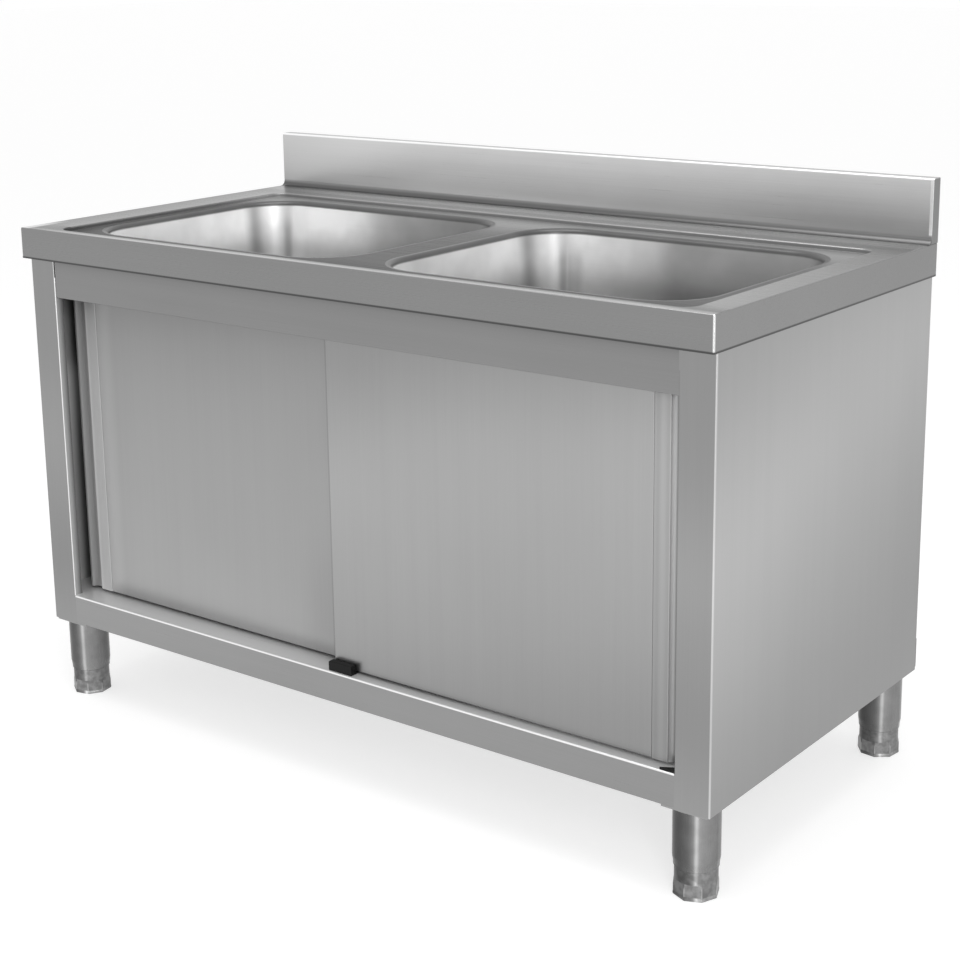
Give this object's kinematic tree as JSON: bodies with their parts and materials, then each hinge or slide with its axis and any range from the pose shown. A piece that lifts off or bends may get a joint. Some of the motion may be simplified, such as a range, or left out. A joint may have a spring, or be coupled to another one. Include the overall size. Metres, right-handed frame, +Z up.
{
  "type": "kitchen sink unit",
  "caption": "Stainless steel sink unit: deep bowls in a sunken worktop with a splashback, on a cupboard with sliding doors and adjustable feet.",
  "frame": {"origin": "on the floor, under the middle of the worktop's length and depth", "axes": "+X along the front to the right as a person faces the doors, +Y from the doors to the wall, +Z up"},
  "size_m": [1.4, 0.7, 0.975],
  "materials": {
    "worktop_steel": "brushed stainless steel, rolled finish",
    "bowl_steel": "satin stainless steel, deep drawn",
    "cupboard_steel": "brushed stainless steel sheet",
    "door_steel": "brushed stainless steel sheet, upright grain",
    "hidden_steel": "plain stainless steel sheet",
    "core_board": "raw fibreboard",
    "fixings": "bright stainless fixings",
    "leg_steel": "drawn stainless tube, polished lengthways",
    "foot_steel": "machined stainless",
    "roller_plastic": "off-white acetal",
    "black_plastic": "black nylon",
    "black_rubber": "black rubber",
    "waste_plastic": "white polypropylene",
    "strainer_steel": "polished stainless strainer"
  },
  "bodies": {
    "cabinet": {"worktop": "worktop_steel", "splashback": "worktop_steel", "splash_end_plates": "worktop_steel", "left_bowl": "bowl_steel", "right_bowl": "bowl_steel", "left_waste_flange": "strainer_steel", "right_waste_flange": "strainer_steel", "left_waste_body": "waste_plastic", "right_waste_body": "waste_plastic", "waste_gaskets": "black_rubber", "waste_nuts": "waste_plastic", "waste_screws": "fixings", "right_side_panel": "cupboard_steel", "left_side_panel": "cupboard_steel", "back_panel": "hidden_steel", "cupboard_floor": "cupboard_steel", "fascia": "cupboard_steel", "rear_stiffener": "hidden_steel", "centre_stiffener": "hidden_steel", "floor_stiffeners": "hidden_steel", "rear_buffers": "black_rubber", "door_track": "hidden_steel", "track_carrier": "hidden_steel", "track_stops": "black_rubber", "door_guide": "black_plastic", "guide_screws": "fixings", "corner_block": "black_plastic", "leg_plates": "hidden_steel", "leg_bolts": "fixings", "leg_tubes": "leg_steel", "leg_inserts": "black_plastic"},
    "right_door": {"right_door_skin": "door_steel", "right_door_core": "core_board", "right_door_back_sheet": "hidden_steel", "right_door_pull": "door_steel", "right_door_roller_brackets": "hidden_steel", "right_door_bracket_screws": "fixings", "right_door_roller_axles": "fixings"},
    "right_door_inner_roller_body": {"right_door_inner_roller": "roller_plastic"},
    "right_door_outer_roller_body": {"right_door_outer_roller": "roller_plastic"},
    "left_door": {"left_door_skin": "door_steel", "left_door_core": "core_board", "left_door_back_sheet": "hidden_steel", "left_door_pull": "door_steel", "left_door_roller_brackets": "hidden_steel", "left_door_bracket_screws": "fixings", "left_door_roller_axles": "fixings"},
    "left_door_inner_roller_body": {"left_door_inner_roller": "roller_plastic"},
    "left_door_outer_roller_body": {"left_door_outer_roller": "roller_plastic"},
    "front_left_foot_body": {"front_left_foot": "foot_steel", "front_left_foot_spindle": "fixings"},
    "front_right_foot_body": {"front_right_foot": "foot_steel", "front_right_foot_spindle": "fixings"},
    "rear_left_foot_body": {"rear_left_foot": "foot_steel", "rear_left_foot_spindle": "fixings"},
    "rear_right_foot_body": {"rear_right_foot": "foot_steel", "rear_right_foot_spindle": "fixings"}
  },
  "joints": [
    {"name": "right_door_slide", "type": "slide", "parent": "cabinet", "child": "right_door", "axis": [-1, 0, 0], "range_m": [0, 0.6]},
    {"name": "right_door_inner_roller_spin", "type": "hinge", "parent": "right_door", "child": "right_door_inner_roller_body", "pos_m": [0.0205, -0.315, 0.8053], "axis": [0, 1, 0], "range_deg": [-3819.74, 0]},
    {"name": "right_door_outer_roller_spin", "type": "hinge", "parent": "right_door", "child": "right_door_outer_roller_body", "pos_m": [0.572, -0.315, 0.8053], "axis": [0, 1, 0], "range_deg": [-3819.74, 0]},
    {"name": "left_door_slide", "type": "slide", "parent": "cabinet", "child": "left_door", "axis": [1, 0, 0], "range_m": [0, 0.6]},
    {"name": "left_door_inner_roller_spin", "type": "hinge", "parent": "left_door", "child": "left_door_inner_roller_body", "pos_m": [-0.0205, -0.287, 0.8053], "axis": [0, 1, 0], "range_deg": [0, 3819.74]},
    {"name": "left_door_outer_roller_spin", "type": "hinge", "parent": "left_door", "child": "left_door_outer_roller_body", "pos_m": [-0.572, -0.287, 0.8053], "axis": [0, 1, 0], "range_deg": [0, 3819.74]},
    {"name": "front_left_foot_level", "type": "slide", "parent": "cabinet", "child": "front_left_foot_body", "axis": [0, 0, -1], "range_m": [-0.018, 0.03]},
    {"name": "front_right_foot_level", "type": "slide", "parent": "cabinet", "child": "front_right_foot_body", "axis": [0, 0, -1], "range_m": [-0.018, 0.03]},
    {"name": "rear_left_foot_level", "type": "slide", "parent": "cabinet", "child": "rear_left_foot_body", "axis": [0, 0, -1], "range_m": [-0.018, 0.03]},
    {"name": "rear_right_foot_level", "type": "slide", "parent": "cabinet", "child": "rear_right_foot_body", "axis": [0, 0, -1], "range_m": [-0.018, 0.03]}
  ],
  "couplings": [
    {"joint": "right_door_inner_roller_spin", "follows": "right_door_slide", "rad_per_m": -111.11},
    {"joint": "right_door_outer_roller_spin", "follows": "right_door_slide", "rad_per_m": -111.11},
    {"joint": "left_door_inner_roller_spin", "follows": "left_door_slide", "rad_per_m": 111.11},
    {"joint": "left_door_outer_roller_spin", "follows": "left_door_slide", "rad_per_m": 111.11}
  ]
}
